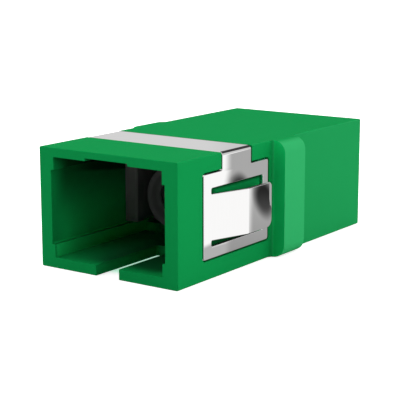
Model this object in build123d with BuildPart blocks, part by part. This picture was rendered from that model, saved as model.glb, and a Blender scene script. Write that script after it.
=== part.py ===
from build123d import *
import os

# Green housing: a square tube, open at both ends, with a rib on each side
body_width = 12.8
body_height = 9.2
body_length = 26.6
long_edge_round = 0.12
mouth_edge_round = 0.06
floor_wall = 0.82
ceiling_wall = 0.71
side_wall = 1.36

# Rib: the stop that the panel is clamped against
rib_reach = 1.2
rib_thickness = 3.0
rib_lead = 1.0
rib_corner_round = 1.0
rib_foot_round = 0.3

# Inside of each socket
arm_channel_depth = 0.25
arm_channel_height = 5.7
ceiling_groove_width = 3.95
ceiling_groove_depth = 0.2
ceiling_groove_length = 5.0
key_slot_width = 2.15
key_slot_length = 7.5
key_slot_end_round = 0.25

# Stops in the middle of the housing that hold the two inserts
stop_height = 0.75
stop_thickness = 1.0
catch_height = 0.35
catch_length = 1.2
catch_width = 2.6
insert_gap = 0.05

# Grey inserts: flange, sleeve holder and a pair of latch arms
flange_thickness = 1.2
holder_diameter = 4.86
holder_reach = 5.3
holder_root_round = 0.4
funnel_diameter = 4.06
funnel_depth = 0.35
lip_bore_diameter = 2.9
lip_thickness = 0.25
arm_reach = 4.6
arm_height = 5.2
arm_thickness = 0.8
arm_flex_gap = 0.1
arm_root_round = 0.35
hook_depth = 0.34
hook_length = 0.9
hook_lead_in = 0.15
peg_diameter = 1.0
peg_length = 0.7
peg_offset_x = 3.3
peg_offset_z = 2.95
peg_gap = 0.05
peg_tip_chamfer = 0.15

# Split ceramic sleeve that lines the two ferrules up
ferrule_bore = 2.5
sleeve_wall = 0.35
sleeve_slit = 0.4
sleeve_gap = 0.05
sleeve_end_chamfer = 0.1

# Spring clip: one strip of steel over the top, with a plate and a sprung tongue on each side
sheet = 0.25
clip_gap = 0.13
clip_land = 0.12
bend_inside = 0.05
bend_relief = 0.05
leg_width = 3.8
shoulder_round = 0.1
plate_width = 8.6
plate_height = 6.3
plate_bottom = 1.55
plate_corner_round = 0.2
tongue_height = 3.44
tongue_centre = 4.58
tongue_slot = 0.43
tongue_tip_gap = 0.27
tongue_reach = 1.0
tongue_ramp = 3.2
tongue_root_round = 1.0
tongue_crest_round = 1.5
tongue_upper_round = 0.35
tongue_lower_round = 0.6
slot_corner_round = 0.12
front_strip = 1.0
rear_strip = 0.74

# Cuts run this far past the face that they break through
overrun = 1.0

half_width = body_width / 2
half_length = body_length / 2

# Optical axis: along Y, in the middle of the passage
passage_width = body_width - 2 * side_wall
passage_height = body_height - floor_wall - ceiling_wall
axis_height = floor_wall + passage_height / 2
channel_width = passage_width + 2 * arm_channel_depth
optical_axis = Axis((0, 0, axis_height), (0, 1, 0))

rib_front = -rib_lead
rib_back = rib_front + rib_thickness

# Places of the clip follow from the rib
plate_back = rib_front - rib_foot_round - clip_land - clip_gap
plate_front = plate_back - plate_width
clip_centre = plate_back - plate_width / 2
plate_top = plate_bottom + plate_height
plate_middle = plate_bottom + plate_height / 2
leaf_middle = half_width - sheet / 2
tongue_root = plate_front + front_strip
tongue_crest = tongue_root + tongue_ramp
window_back = plate_back - rear_strip
window_length = window_back - tongue_root
tongue_tip = window_back - tongue_tip_gap

# Places of the insert's details, on the front insert
arm_outside = channel_width / 2 - arm_flex_gap
arm_inside = arm_outside - arm_thickness
hook_inside = arm_inside - hook_depth
hook_back = hook_length - arm_reach
arm_bottom = axis_height - arm_height / 2
sleeve_diameter = ferrule_bore + 2 * sleeve_wall
pocket_radius = sleeve_diameter / 2 + sleeve_gap
pocket_depth = holder_reach - funnel_depth - lip_thickness
sleeve_length = 2 * (pocket_depth - sleeve_gap)


def across(y):
    """Plane across the optical axis at y; a positive extrusion runs towards the front mouth."""
    return Plane.XZ.offset(-y)


with BuildPart() as rib:
    # Rib on both sides, with a hollow round where it stands on the side walls
    with BuildSketch(Plane.XY) as rib_plan:
        with Locations((0, (rib_front + rib_back) / 2)):
            Rectangle(body_width + 2 * rib_reach, rib_thickness)
            Rectangle(body_width, rib_thickness + 4 * rib_foot_round)
        inner_corners = rib_plan.vertices().filter_by_position(Axis.Y, rib_front, rib_back)
        inner_corners = inner_corners.filter_by_position(Axis.X, -half_width, half_width)
        fillet(inner_corners, radius=rib_foot_round)
    extrude(amount=body_height)

    # Flush with the housing's top and bottom, rounded at its four outer corners
    with BuildSketch(across(rib_back + rib_foot_round)):
        with Locations((0, body_height / 2)):
            RectangleRounded(body_width + 2 * rib_reach, body_height, rib_corner_round)
    extrude(amount=rib_thickness + 2 * rib_foot_round, mode=Mode.INTERSECT)

with BuildPart() as housing:
    # Square tube, solid at first
    with BuildSketch(across(0)):
        with Locations((0, body_height / 2)):
            RectangleRounded(body_width, body_height, long_edge_round)
    extrude(amount=half_length, both=True)
    fillet(housing.faces().filter_by(Axis.Y).edges(), radius=mouth_edge_round)

    add(rib.part)

    # Passage from mouth to mouth, with a channel in each side wall for the latch arms
    with BuildSketch(across(0)):
        with Locations((0, axis_height)):
            Rectangle(passage_width, passage_height)
            Rectangle(channel_width, arm_channel_height)
    extrude(amount=half_length + overrun, both=True, mode=Mode.SUBTRACT)

    # Shallow groove in the ceiling and key slot in the floor, at each mouth
    for end in (-1, 1):
        with BuildSketch(Plane.XY.offset(body_height - ceiling_wall)):
            with Locations((0, end * (half_length - ceiling_groove_length / 2))):
                Rectangle(ceiling_groove_width, ceiling_groove_length)
        extrude(amount=ceiling_groove_depth, mode=Mode.SUBTRACT)
        with BuildSketch(Plane.XY):
            with Locations((0, end * (half_length - key_slot_length / 2 + overrun / 2))):
                RectangleRounded(key_slot_width, key_slot_length + overrun, key_slot_end_round)
            with Locations((0, end * half_length)):
                Rectangle(key_slot_width, 2 * overrun)
        extrude(amount=floor_wall, mode=Mode.SUBTRACT)

    # Stop bars on the floor and the ceiling: the front insert's flange comes to rest on them
    with BuildSketch(across(-flange_thickness)):
        with Locations((0, floor_wall + stop_height / 2)):
            Rectangle(passage_width, stop_height)
        with Locations((0, body_height - ceiling_wall - stop_height / 2)):
            Rectangle(passage_width, stop_height)
    extrude(amount=stop_thickness)

    # Ramped catches behind the rear insert's flange
    catch_face = flange_thickness + insert_gap
    for level, up in ((floor_wall, 1), (body_height - ceiling_wall, -1)):
        with BuildSketch(Plane.YZ):
            with BuildLine():
                Polyline(
                    (catch_face, level),
                    (catch_face, level + up * catch_height),
                    (catch_face + catch_length, level),
                    close=True,
                )
            make_face()
        extrude(amount=catch_width / 2, both=True)

    # Channel for the clip's strap, over the top and down both sides to the plates
    with BuildSketch(across(clip_centre)):
        with Locations((0, plate_top)):
            Rectangle(body_width + 2 * overrun, 2 * body_height, align=(Align.CENTER, Align.MIN))
        with Locations((0, (body_height - sheet) / 2)):
            RectangleRounded(
                body_width - 2 * sheet, body_height - sheet, bend_inside + bend_relief, mode=Mode.SUBTRACT
            )
    extrude(amount=leg_width / 2 + clip_gap, both=True, mode=Mode.SUBTRACT)

    # Recess for the clip's plate in each side
    for recess_start in (half_width - sheet, -half_width - overrun):
        with BuildSketch(Plane.YZ.offset(recess_start)):
            with Locations((clip_centre, plate_middle)):
                RectangleRounded(
                    plate_width + 2 * clip_gap, plate_height + 2 * clip_gap, plate_corner_round + clip_gap
                )
        extrude(amount=sheet + overrun, mode=Mode.SUBTRACT)

with BuildPart() as insert_front:
    # Flange, with an ear in each side channel where the arms spring from it
    with BuildSketch(across(0)):
        with Locations((0, axis_height)):
            Rectangle(passage_width - 2 * insert_gap, passage_height - 2 * insert_gap)
            Rectangle(2 * arm_outside, arm_height)
    extrude(amount=flange_thickness)

    # Sleeve holder
    with BuildSketch(across(-flange_thickness)):
        with Locations((0, axis_height)):
            Circle(holder_diameter / 2)
    extrude(amount=holder_reach - flange_thickness)
    holder_root = insert_front.edges().filter_by(GeomType.CIRCLE).sort_by(Axis.Y)[-1]
    fillet(holder_root, radius=holder_root_round)

    # Latch arms, each with a hook that faces the plug
    with BuildSketch(Plane.XY.offset(arm_bottom)):
        with BuildLine():
            Polyline(
                (arm_outside, -flange_thickness / 2),
                (arm_outside, -arm_reach),
                (hook_inside + hook_lead_in, -arm_reach),
                (hook_inside, hook_lead_in - arm_reach),
                (hook_inside, hook_back),
                (arm_inside, hook_back),
                (arm_inside, -flange_thickness / 2),
                close=True,
            )
        make_face()
    extrude(amount=arm_height)
    mirror(about=Plane.YZ)
    arm_roots = insert_front.edges().filter_by(Axis.Z)
    arm_roots = arm_roots.filter_by(lambda edge: abs(abs(edge.center().X) - arm_inside) < insert_gap)
    arm_roots = arm_roots.filter_by(lambda edge: abs(edge.center().Y + flange_thickness) < insert_gap)
    fillet(arm_roots, radius=arm_root_round)

    # Pocket for one half of the sleeve, its lip and the funnel that leads the ferrule in
    with BuildSketch(Plane.YZ):
        with BuildLine():
            Polyline(
                (0, axis_height),
                (0, axis_height + pocket_radius),
                (-pocket_depth, axis_height + pocket_radius),
                (-pocket_depth, axis_height + lip_bore_diameter / 2),
                (-pocket_depth - lip_thickness, axis_height + lip_bore_diameter / 2),
                (-holder_reach, axis_height + funnel_diameter / 2),
                (-holder_reach, axis_height),
                close=True,
            )
        make_face()
    revolve(axis=optical_axis, mode=Mode.SUBTRACT)

    # Two sockets and two pegs on the mating face, which the other insert turned round fits
    for level in (axis_height - peg_offset_z, axis_height + peg_offset_z):
        with BuildSketch(across(0)):
            with Locations((-peg_offset_x, level)):
                Circle(peg_diameter / 2 + peg_gap)
        extrude(amount=peg_length + peg_gap, mode=Mode.SUBTRACT)
        with BuildSketch(across(0)):
            with Locations((peg_offset_x, level)):
                Circle(peg_diameter / 2)
        extrude(amount=-peg_length)
    peg_tips = insert_front.faces().filter_by(Axis.Y).filter_by_position(Axis.Y, peg_length, peg_length)
    chamfer(peg_tips.edges(), length=peg_tip_chamfer)

with BuildPart() as insert_rear:
    # The same moulding, turned round about the vertical
    add(insert_front.part, rotation=(0, 0, 180))

with BuildPart() as alignment_sleeve:
    with BuildSketch(across(0)):
        with Locations((0, axis_height)):
            Circle(sleeve_diameter / 2)
            Circle(ferrule_bore / 2, mode=Mode.SUBTRACT)
    extrude(amount=sleeve_length / 2, both=True)
    chamfer(alignment_sleeve.edges().filter_by(GeomType.CIRCLE), length=sleeve_end_chamfer)

    # Slit along the top that makes the sleeve springy
    with BuildSketch(Plane.XY.offset(axis_height)):
        Rectangle(sleeve_slit, sleeve_length + overrun)
    extrude(amount=sleeve_diameter, mode=Mode.SUBTRACT)

with BuildPart() as panel_clip:
    # Strap over the top, bent down at both edges
    with BuildSketch(across(clip_centre)):
        with BuildLine():
            FilletPolyline(
                (-leaf_middle, plate_top - plate_corner_round),
                (-leaf_middle, body_height - sheet / 2),
                (leaf_middle, body_height - sheet / 2),
                (leaf_middle, plate_top - plate_corner_round),
                radius=bend_inside + sheet / 2,
            )
        trace(line_width=sheet)
    extrude(amount=leg_width / 2, both=True)

    # Side plate with the window that the tongue is cut from
    with BuildSketch(Plane.YZ.offset(half_width - sheet)):
        with Locations((clip_centre, plate_middle)):
            RectangleRounded(plate_width, plate_height, plate_corner_round)
        with Locations(((tongue_root + window_back) / 2, tongue_centre)):
            RectangleRounded(
                window_length, tongue_height + 2 * tongue_slot, slot_corner_round, mode=Mode.SUBTRACT
            )
    extrude(amount=sheet)

    # Small fillets where the leg meets the plate's shoulders
    shoulders = panel_clip.edges().filter_by(Axis.X)
    shoulders = shoulders.filter_by(lambda edge: abs(edge.center().Z - plate_top) < sheet / 2)
    shoulders = shoulders.filter_by(
        lambda edge: abs(abs(edge.center().Y - clip_centre) - leg_width / 2) < sheet / 2
    )
    shoulders = shoulders.filter_by(lambda edge: edge.center().X > 0)
    fillet(shoulders, radius=shoulder_round)

    # Tongue, sprung outwards on a ramp and level again at its tip
    with BuildSketch(Plane.XY.offset(tongue_centre - tongue_height / 2)):
        with BuildLine():
            FilletPolyline(
                (leaf_middle, plate_front + front_strip / 2),
                (leaf_middle, tongue_root),
                (leaf_middle + tongue_reach, tongue_crest),
                (leaf_middle + tongue_reach, tongue_tip),
                radius=(tongue_root_round, tongue_crest_round),
            )
        trace(line_width=sheet)
    extrude(amount=tongue_height)
    for corner_round, place in ((tongue_lower_round, 0), (tongue_upper_round, -1)):
        tip_corners = panel_clip.edges().filter_by(Axis.X)
        tip_corners = tip_corners.filter_by(lambda edge: edge.center().X > half_width).sort_by(Axis.Z)
        fillet(tip_corners[place], radius=corner_round)

    mirror(about=Plane.YZ)

os.makedirs("parts", exist_ok=True)

housing.part.label = "housing"
export_step(housing.part, "parts/housing.step")

insert_front.part.label = "insert_front"
export_step(insert_front.part, "parts/insert_front.step")

insert_rear.part.label = "insert_rear"
export_step(insert_rear.part, "parts/insert_rear.step")

alignment_sleeve.part.label = "alignment_sleeve"
export_step(alignment_sleeve.part, "parts/alignment_sleeve.step")

panel_clip.part.label = "panel_clip"
export_step(panel_clip.part, "parts/panel_clip.step")
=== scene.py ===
"""Square fibre optic coupler: green moulded housing, steel clip, grey inserts and a split ceramic sleeve."""

import logging
import math
from collections.abc import Callable, Iterator
from contextlib import contextmanager
from dataclasses import dataclass, field
from enum import Enum
from functools import partial, reduce

import bmesh
import bpy
from mathutils import Matrix, Vector
from mathutils.geometry import delaunay_2d_cdt


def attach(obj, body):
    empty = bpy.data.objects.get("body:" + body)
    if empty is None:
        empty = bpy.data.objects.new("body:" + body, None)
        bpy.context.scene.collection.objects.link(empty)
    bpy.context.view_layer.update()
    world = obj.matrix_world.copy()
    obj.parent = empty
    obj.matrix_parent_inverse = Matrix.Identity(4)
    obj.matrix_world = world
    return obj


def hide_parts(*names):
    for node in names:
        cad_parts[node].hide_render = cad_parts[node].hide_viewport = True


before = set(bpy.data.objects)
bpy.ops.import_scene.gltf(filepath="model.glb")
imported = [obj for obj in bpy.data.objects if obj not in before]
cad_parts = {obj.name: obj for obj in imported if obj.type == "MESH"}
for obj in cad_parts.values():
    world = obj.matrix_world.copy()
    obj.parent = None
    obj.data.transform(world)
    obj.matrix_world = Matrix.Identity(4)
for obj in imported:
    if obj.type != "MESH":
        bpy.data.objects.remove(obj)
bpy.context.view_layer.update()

MM = 0.001
BODY = "root"
WHITE = (1.0, 1.0, 1.0, 1.0)
log = logging.getLogger("coupler")

Socket = bpy.types.NodeSocket
Value = float | Socket
Axes = tuple[Socket, Socket, Socket]
Colour = tuple[float, float, float, float]
Span = tuple[float, float]


class Slot(Enum):
    """Names of the material slots."""

    HOUSING = "green_housing"
    INSERT = "grey_insert"
    CERAMIC = "white_ceramic"
    STEEL = "spring_steel"


class Side(Enum):
    """Which mouth an insert faces."""

    FRONT = "front"
    REAR = "rear"


class Wiring:
    """Adds nodes to one tree and joins them."""

    def __init__(self, tree: bpy.types.NodeTree) -> None:
        """Start from an empty tree.

        Args:
            tree: the node tree that is filled.
        """
        self.tree = tree
        tree.nodes.clear()

    def node(self, kind: str, **settings: object) -> bpy.types.Node:
        """Add one node.

        Args:
            kind: the node's Blender type.
            settings: properties to set on it.

        Returns:
            The new node.
        """
        made = self.tree.nodes.new(kind)
        for name, value in settings.items():
            setattr(made, name, value)
        return made

    def feed(self, socket: Socket, value: object) -> None:
        """Give an input its value.

        Args:
            socket: the input.
            value: an output to join to it, or a constant.
        """
        if isinstance(value, Socket):
            self.tree.links.new(value, socket)
        else:
            socket.default_value = value

    def sum(self, operation: str, *values: Value) -> Socket:
        """Work out one step of arithmetic.

        Args:
            operation: the Math node's operation.
            values: numbers or sockets, in order.

        Returns:
            The result's socket.
        """
        step = self.node("ShaderNodeMath", operation=operation)
        for socket, value in zip(step.inputs, values):
            self.feed(socket, value)
        return step.outputs[0]

    def times(self, *values: Value) -> Socket:
        """Multiply numbers or sockets, in order."""
        return reduce(partial(self.sum, "MULTIPLY"), values)

    def positive(self, value: Value) -> Socket:
        """Take the sign off a number."""
        return self.sum("ABSOLUTE", value)

    def ease(self, value: Value, start: Value, stop: Value, low: float = 0.0, high: float = 1.0) -> Socket:
        """Go smoothly from one number to another.

        Args:
            value: what the step follows.
            start: value where it begins.
            stop: value where it ends.
            low: result up to start.
            high: result from stop on.

        Returns:
            The result's socket.
        """
        step = self.node("ShaderNodeMapRange", interpolation_type="SMOOTHSTEP")
        for socket, number in zip(step.inputs, (value, start, stop, low, high)):
            self.feed(socket, number)
        return step.outputs[0]

    def fade(self, value: Value, start: Value, stop: Value) -> Socket:
        """Go smoothly from one at start to nothing at stop."""
        return self.ease(value, start, stop, 1.0, 0.0)

    def blend(self, share: Value, first: Value, second: Value) -> Socket:
        """Mix two numbers.

        Args:
            share: share of the second number.
            first: number at a share of nothing.
            second: number at a share of one.

        Returns:
            The mixed number.
        """
        step = self.node("ShaderNodeMix", data_type="FLOAT")
        for socket, value in zip(step.inputs[0:1] + step.inputs[2:4], (share, first, second)):
            self.feed(socket, value)
        return step.outputs[0]

    def tint(self, share: Value, first: Socket | Colour, second: Socket | Colour) -> Socket:
        """Mix two colours.

        Args:
            share: share of the second colour.
            first: colour at a share of nothing.
            second: colour at a share of one.

        Returns:
            The mixed colour.
        """
        step = self.node("ShaderNodeMix", data_type="RGBA")
        self.feed(step.inputs[0], share)
        self.feed(step.inputs[6], first)
        self.feed(step.inputs[7], second)
        return step.outputs[2]

    def split(self, vector: Socket) -> Axes:
        """Take a vector apart.

        Args:
            vector: a place or a direction.

        Returns:
            Its X, Y and Z.
        """
        step = self.node("ShaderNodeSeparateXYZ")
        self.feed(step.inputs[0], vector)
        return tuple(step.outputs)

    def noise(self, where: Socket, scale: float, detail: float = 2.0, roughness: float = 0.5) -> Socket:
        """Add a noise pattern.

        Args:
            where: the place, in millimetres.
            scale: blobs in each millimetre.
            detail: octaves.
            roughness: weight of the finer octaves.

        Returns:
            The pattern, from 0 to 1.
        """
        step = self.node("ShaderNodeTexNoise")
        self.feed(step.inputs["Vector"], where)
        step.inputs["Scale"].default_value = scale
        step.inputs["Detail"].default_value = detail
        step.inputs["Roughness"].default_value = roughness
        return step.outputs[0]

    def stretched(self, where: Socket, scale: tuple[float, float, float]) -> Socket:
        """Scale a place by a different factor in each direction.

        Args:
            where: the place.
            scale: the factors for X, Y and Z.

        Returns:
            The scaled place.
        """
        step = self.node("ShaderNodeMapping")
        self.feed(step.inputs["Vector"], where)
        step.inputs["Scale"].default_value = scale
        return step.outputs[0]

    def openness(self, reach: float) -> Socket:
        """How open the surface is round a point.

        Args:
            reach: how far it looks, in millimetres.

        Returns:
            The openness, from 0 in a narrow corner to 1.
        """
        nearby = self.node("ShaderNodeAmbientOcclusion", samples=8, only_local=True)
        nearby.inputs["Distance"].default_value = reach * MM
        return nearby.outputs["AO"]

    def relief(self, height: Socket, depth: float, under: Socket | None = None) -> Socket:
        """Turn a height pattern into a bumped normal.

        Args:
            height: pattern from 0 to 1.
            depth: height of the pattern in millimetres.
            under: normal of a coarser relief below it.

        Returns:
            The normal's socket.
        """
        step = self.node("ShaderNodeBump")
        step.inputs["Strength"].default_value = 1.0
        step.inputs["Distance"].default_value = depth * MM
        self.feed(step.inputs["Height"], height)
        if under is not None:
            self.feed(step.inputs["Normal"], under)
        return step.outputs[0]


def millimetre_place(wiring: Wiring) -> Socket:
    """The place on the object, in millimetres from its origin."""
    place = wiring.node("ShaderNodeTexCoord").outputs["Object"]
    return wiring.stretched(place, (1 / MM, 1 / MM, 1 / MM))


def facing_axes(wiring: Wiring) -> Axes:
    """X, Y and Z of the way that the object's surface faces."""
    return wiring.split(wiring.node("ShaderNodeTexCoord").outputs["Normal"])


def new_surface(name: str) -> tuple[bpy.types.Material, Wiring, bpy.types.Node]:
    """Make a material with one plain surface shader.

    Args:
        name: the material's name.

    Returns:
        The material, the wiring of its tree and the shader.
    """
    material = bpy.data.materials.new(name)
    material.use_nodes = True
    wiring = Wiring(material.node_tree)
    shader = wiring.node("ShaderNodeBsdfPrincipled")
    output = wiring.node("ShaderNodeOutputMaterial")
    wiring.feed(output.inputs["Surface"], shader.outputs[0])
    return material, wiring, shader


@dataclass(frozen=True)
class PassagePaintedLightAndShade:
    """Painted light and shade on the green inside the passage: walls, side cheeks, floor, corners and
    ceiling.

    Places are in millimetres, and a pair says where a share starts and where it is whole or gone.
    """

    # Painted light low on the walls, and painted shade high up under the ceiling.
    wall_painted_light: Colour = (0.012, 0.56, 0.14, 1.0)
    wall_painted_shade: Colour = (0.003, 0.065, 0.016, 1.0)
    wall_z: Span = (2.2, 7.3)
    wall_y: Span = (11.5, 13.1)
    middle_share: float = 0.66
    # Painted light on the lower side cheeks.
    cheek_painted_light: Colour = (0.015, 0.66, 0.17, 1.0)
    cheek_z: Span = (1.9, 2.0)
    cheek_x: Span = (3.5, 4.5)
    level_turn: Span = (0.5, 0.9)
    # Painted light on the left of the floor, and painted shade on the right where the right wall shades it.
    floor_left_painted_light: Colour = (0.006, 0.32, 0.08, 1.0)
    floor_right_painted_shade: Colour = (0.004, 0.095, 0.028, 1.0)
    floor_x: Span = (-4.8, -0.5)
    floor_y: Span = (11.4, 13.2)
    # Painted shade in narrow corners and painted shadow under the ceiling.
    dark: Colour = (0.001, 0.005, 0.002, 1.0)
    corner_reach: float = 2.0
    corner_open: Span = (0.36, 0.84)
    corner_z: Span = (3.5, 6.5)
    shadow_z: Span = (7.2, 7.5)
    shadow_y: Span = (8.0, 12.2)
    shadow_fall: float = 0.125
    mouth: float = 13.3
    whole_y: Span = (13.0, 13.3)
    side_x: Span = (5.25, 5.38)
    bottom_z: Span = (0.5, 0.8)
    top_z: Span = (8.65, 8.8)

    def paint(self, wiring: Wiring, colour: Socket, place: Axes, facing: Axes) -> Socket:
        """Paint light and shade on the inside of the passage over a colour.

        Args:
            wiring: the material's wiring.
            colour: the green below.
            place: X, Y and Z, in millimetres.
            facing: X, Y and Z of the way that the surface faces.

        Returns:
            The new colour.
        """
        x, _, z = place
        # Painted light low on the walls and painted shade high up.
        aside = wiring.ease(wiring.positive(x), *self.cheek_x)
        upper = wiring.ease(z, *self.wall_z)
        upper = wiring.sum("MAXIMUM", upper, wiring.blend(aside, self.middle_share, 0.0))
        wall = wiring.tint(upper, self.wall_painted_light, self.wall_painted_shade)
        colour = wiring.tint(self.inside(wiring, place, self.wall_y), colour, wall)
        whole = self.inside(wiring, place, self.whole_y)
        level = wiring.ease(wiring.positive(facing[2]), *self.level_turn)
        upright = wiring.sum("SUBTRACT", 1.0, level)
        # Painted light on the lower side cheeks.
        cheek_painted_light = wiring.times(wiring.fade(z, *self.cheek_z), whole, upright, aside)
        colour = wiring.tint(cheek_painted_light, colour, self.cheek_painted_light)
        # Painted light and shade on the floor.
        floor = wiring.tint(wiring.ease(x, *self.floor_x), self.floor_left_painted_light, self.floor_right_painted_shade)
        colour = wiring.tint(wiring.times(level, self.inside(wiring, place, self.floor_y)), colour, floor)
        # Painted shade in narrow corners, and painted shadow under the ceiling.
        corner = wiring.fade(wiring.openness(self.corner_reach), *self.corner_open)
        corner = wiring.times(corner, whole, wiring.ease(z, *self.corner_z))
        dark = wiring.sum("MAXIMUM", corner, self.under_ceiling(wiring, place))
        return wiring.tint(dark, colour, self.dark)

    def under_ceiling(self, wiring: Wiring, place: Axes) -> Socket:
        """Share of the painted shadow below the ceiling, which reaches lower as the passage gets deeper.

        Args:
            wiring: the material's wiring.
            place: X, Y and Z, in millimetres.

        Returns:
            The share.
        """
        depth = wiring.sum("SUBTRACT", self.mouth, wiring.positive(place[1]))
        sunk = wiring.sum("MULTIPLY_ADD", depth, self.shadow_fall, place[2])
        return wiring.times(wiring.ease(sunk, *self.shadow_z), self.inside(wiring, place, self.shadow_y))

    def inside(self, wiring: Wiring, place: Axes, mouth: Span) -> Socket:
        """One on the walls of the passage and nothing outside.

        Args:
            wiring: the material's wiring.
            place: X, Y and Z, in millimetres.
            mouth: the share fades between these distances from the middle.

        Returns:
            The share.
        """
        beside = wiring.fade(wiring.positive(place[0]), *self.side_x)
        along = wiring.fade(wiring.positive(place[1]), *mouth)
        above = wiring.ease(place[2], *self.bottom_z)
        below = wiring.fade(place[2], *self.top_z)
        return wiring.times(beside, along, above, below)


@dataclass(frozen=True)
class RecessShade:
    """Darker green where the clip shades the recess below its slots. Places are in millimetres."""

    colour: Colour = (0.002, 0.09, 0.022, 1.0)
    sunk_x: Span = (6.2, 6.3)
    wall_x: float = 5.38
    front_y: Span = (-8.95, -7.9)
    upper_z: Span = (6.36, 6.64)
    lower_z: Span = (2.8, 3.1)

    def paint(self, wiring: Wiring, colour: Socket, place: Axes, outward: Socket) -> Socket:
        """Paint the shaded borders of the recess over a colour.

        Args:
            wiring: the material's wiring.
            colour: the green below.
            place: X, Y and Z, in millimetres.
            outward: share of a surface that faces sideways.

        Returns:
            The new colour.
        """
        aside = wiring.positive(place[0])
        sunk = wiring.times(wiring.fade(aside, *self.sunk_x), wiring.sum("GREATER_THAN", aside, self.wall_x))
        above = wiring.ease(place[2], *self.upper_z)
        shaded = wiring.sum("MAXIMUM", above, wiring.fade(place[2], *self.lower_z))
        shaded = wiring.sum("MAXIMUM", wiring.fade(place[1], *self.front_y), shaded)
        return wiring.tint(wiring.times(outward, sunk, shaded), colour, self.colour)


@dataclass(frozen=True)
class FlankPaintedLight:
    """Painted light on the rib's front and a painted sheen on its outer faces, a painted sheen on the side
    behind the rib and painted light on the side just before it. Places are in millimetres.
    """

    # Painted light on the side just before the rib, and a painted sheen on the side behind it.
    before: Colour = (0.005, 0.345, 0.083, 1.0)
    before_y: Span = (-1.75, -1.5)
    behind: Colour = (0.0130, 0.345, 0.094, 1.0)
    behind_y: Span = (1.0, 2.6)
    # Painted light on the rib's front and a painted sheen on its outer faces.
    rib_x: Span = (6.45, 6.62)
    rib_front_painted_light: Colour = (0.009, 0.66, 0.165, 1.0)
    rib_outer_painted_sheen: Colour = (0.033, 0.455, 0.145, 1.0)
    forward_turn: Span = (-0.9, -0.5)

    def paint_before(self, wiring: Wiring, colour: Socket, y: Socket, outward: Socket) -> Socket:
        """Paint light on the strip of the side just before the rib over a colour."""
        # Painted light on the strip just before the rib.
        strip = wiring.times(outward, wiring.ease(y, *self.before_y), wiring.sum("LESS_THAN", y, 0.0))
        return wiring.tint(strip, colour, self.before)

    def paint(self, wiring: Wiring, colour: Socket, place: Axes, forward: Socket, outward: Socket) -> Socket:
        """Paint a sheen on the side behind the rib, light on the rib's front and a sheen on its outer faces,
        over a colour.

        Args:
            wiring: the material's wiring.
            colour: the green below.
            place: X, Y and Z, in millimetres.
            forward: Y of the way that the surface faces.
            outward: share of a surface that faces sideways.

        Returns:
            The new colour.
        """
        # Painted sheen on the side behind the rib.
        behind = wiring.times(outward, wiring.ease(place[1], *self.behind_y))
        colour = wiring.tint(behind, colour, self.behind)
        rib = wiring.ease(wiring.positive(place[0]), *self.rib_x)
        # Painted light on the rib's front, then a painted sheen on its outer faces.
        front = wiring.times(wiring.fade(forward, *self.forward_turn), rib)
        colour = wiring.tint(front, colour, self.rib_front_painted_light)
        return wiring.tint(wiring.times(outward, rib), colour, self.rib_outer_painted_sheen)


@dataclass(frozen=True)
class MouldedGreen:
    """Green plastic with a fine spark texture and a soft gloss, with light and shade painted on it by its
    place on the housing.
    """

    colour: Colour = (0.0048, 0.326, 0.078, 1.0)
    cloud: Colour = (0.0042, 0.308, 0.073, 1.0)
    cloud_scale: float = 0.35
    cloud_share: float = 0.75
    speck_scale: float = 5.0
    speck_share: float = 0.35
    outward_turn: Span = (0.15, 0.75)
    passage: PassagePaintedLightAndShade = field(default_factory=PassagePaintedLightAndShade)
    recess: RecessShade = field(default_factory=RecessShade)
    flank: FlankPaintedLight = field(default_factory=FlankPaintedLight)
    gloss_rough: float = 0.50
    gloss_smooth: float = 0.38
    specular: float = 0.006
    ripple_scale: float = 0.6
    ripple_depth: float = 0.006
    grain_scale: float = 11.0
    grain_depth: float = 0.0035

    def make(self) -> bpy.types.Material:
        """Build the material.

        Returns:
            The material.
        """
        material, wiring, shader = new_surface("moulded_green")
        where = millimetre_place(wiring)
        speck = wiring.noise(where, self.speck_scale)
        cloud = wiring.times(wiring.noise(where, self.cloud_scale, detail=3.0), self.cloud_share)
        share = wiring.sum("MULTIPLY_ADD", speck, self.speck_share, cloud)
        colour = wiring.tint(share, self.colour, self.cloud)
        wiring.feed(shader.inputs["Base Color"], self.shade(wiring, colour, wiring.split(where)))
        wiring.feed(shader.inputs["Roughness"], wiring.blend(speck, self.gloss_smooth, self.gloss_rough))
        shader.inputs["Specular IOR Level"].default_value = self.specular
        ripple = wiring.relief(wiring.noise(where, self.ripple_scale, detail=1.0), self.ripple_depth)
        grain = wiring.noise(where, self.grain_scale, roughness=0.6)
        wiring.feed(shader.inputs["Normal"], wiring.relief(grain, self.grain_depth, ripple))
        return material

    def shade(self, wiring: Wiring, colour: Socket, place: Axes) -> Socket:
        """Paint light and shade on the green by its place on the housing.

        Args:
            wiring: the material's wiring.
            colour: the plain green.
            place: X, Y and Z, in millimetres.

        Returns:
            The shaded colour.
        """
        facing = facing_axes(wiring)
        outward = wiring.ease(wiring.positive(facing[0]), *self.outward_turn)
        # Painted light and shade: rib strips, passage, recess below the clip, rib faces.
        colour = self.flank.paint_before(wiring, colour, place[1], outward)
        colour = self.passage.paint(wiring, colour, place, facing)
        colour = self.recess.paint(wiring, colour, place, outward)
        return self.flank.paint(wiring, colour, place, facing[1], outward)


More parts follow.
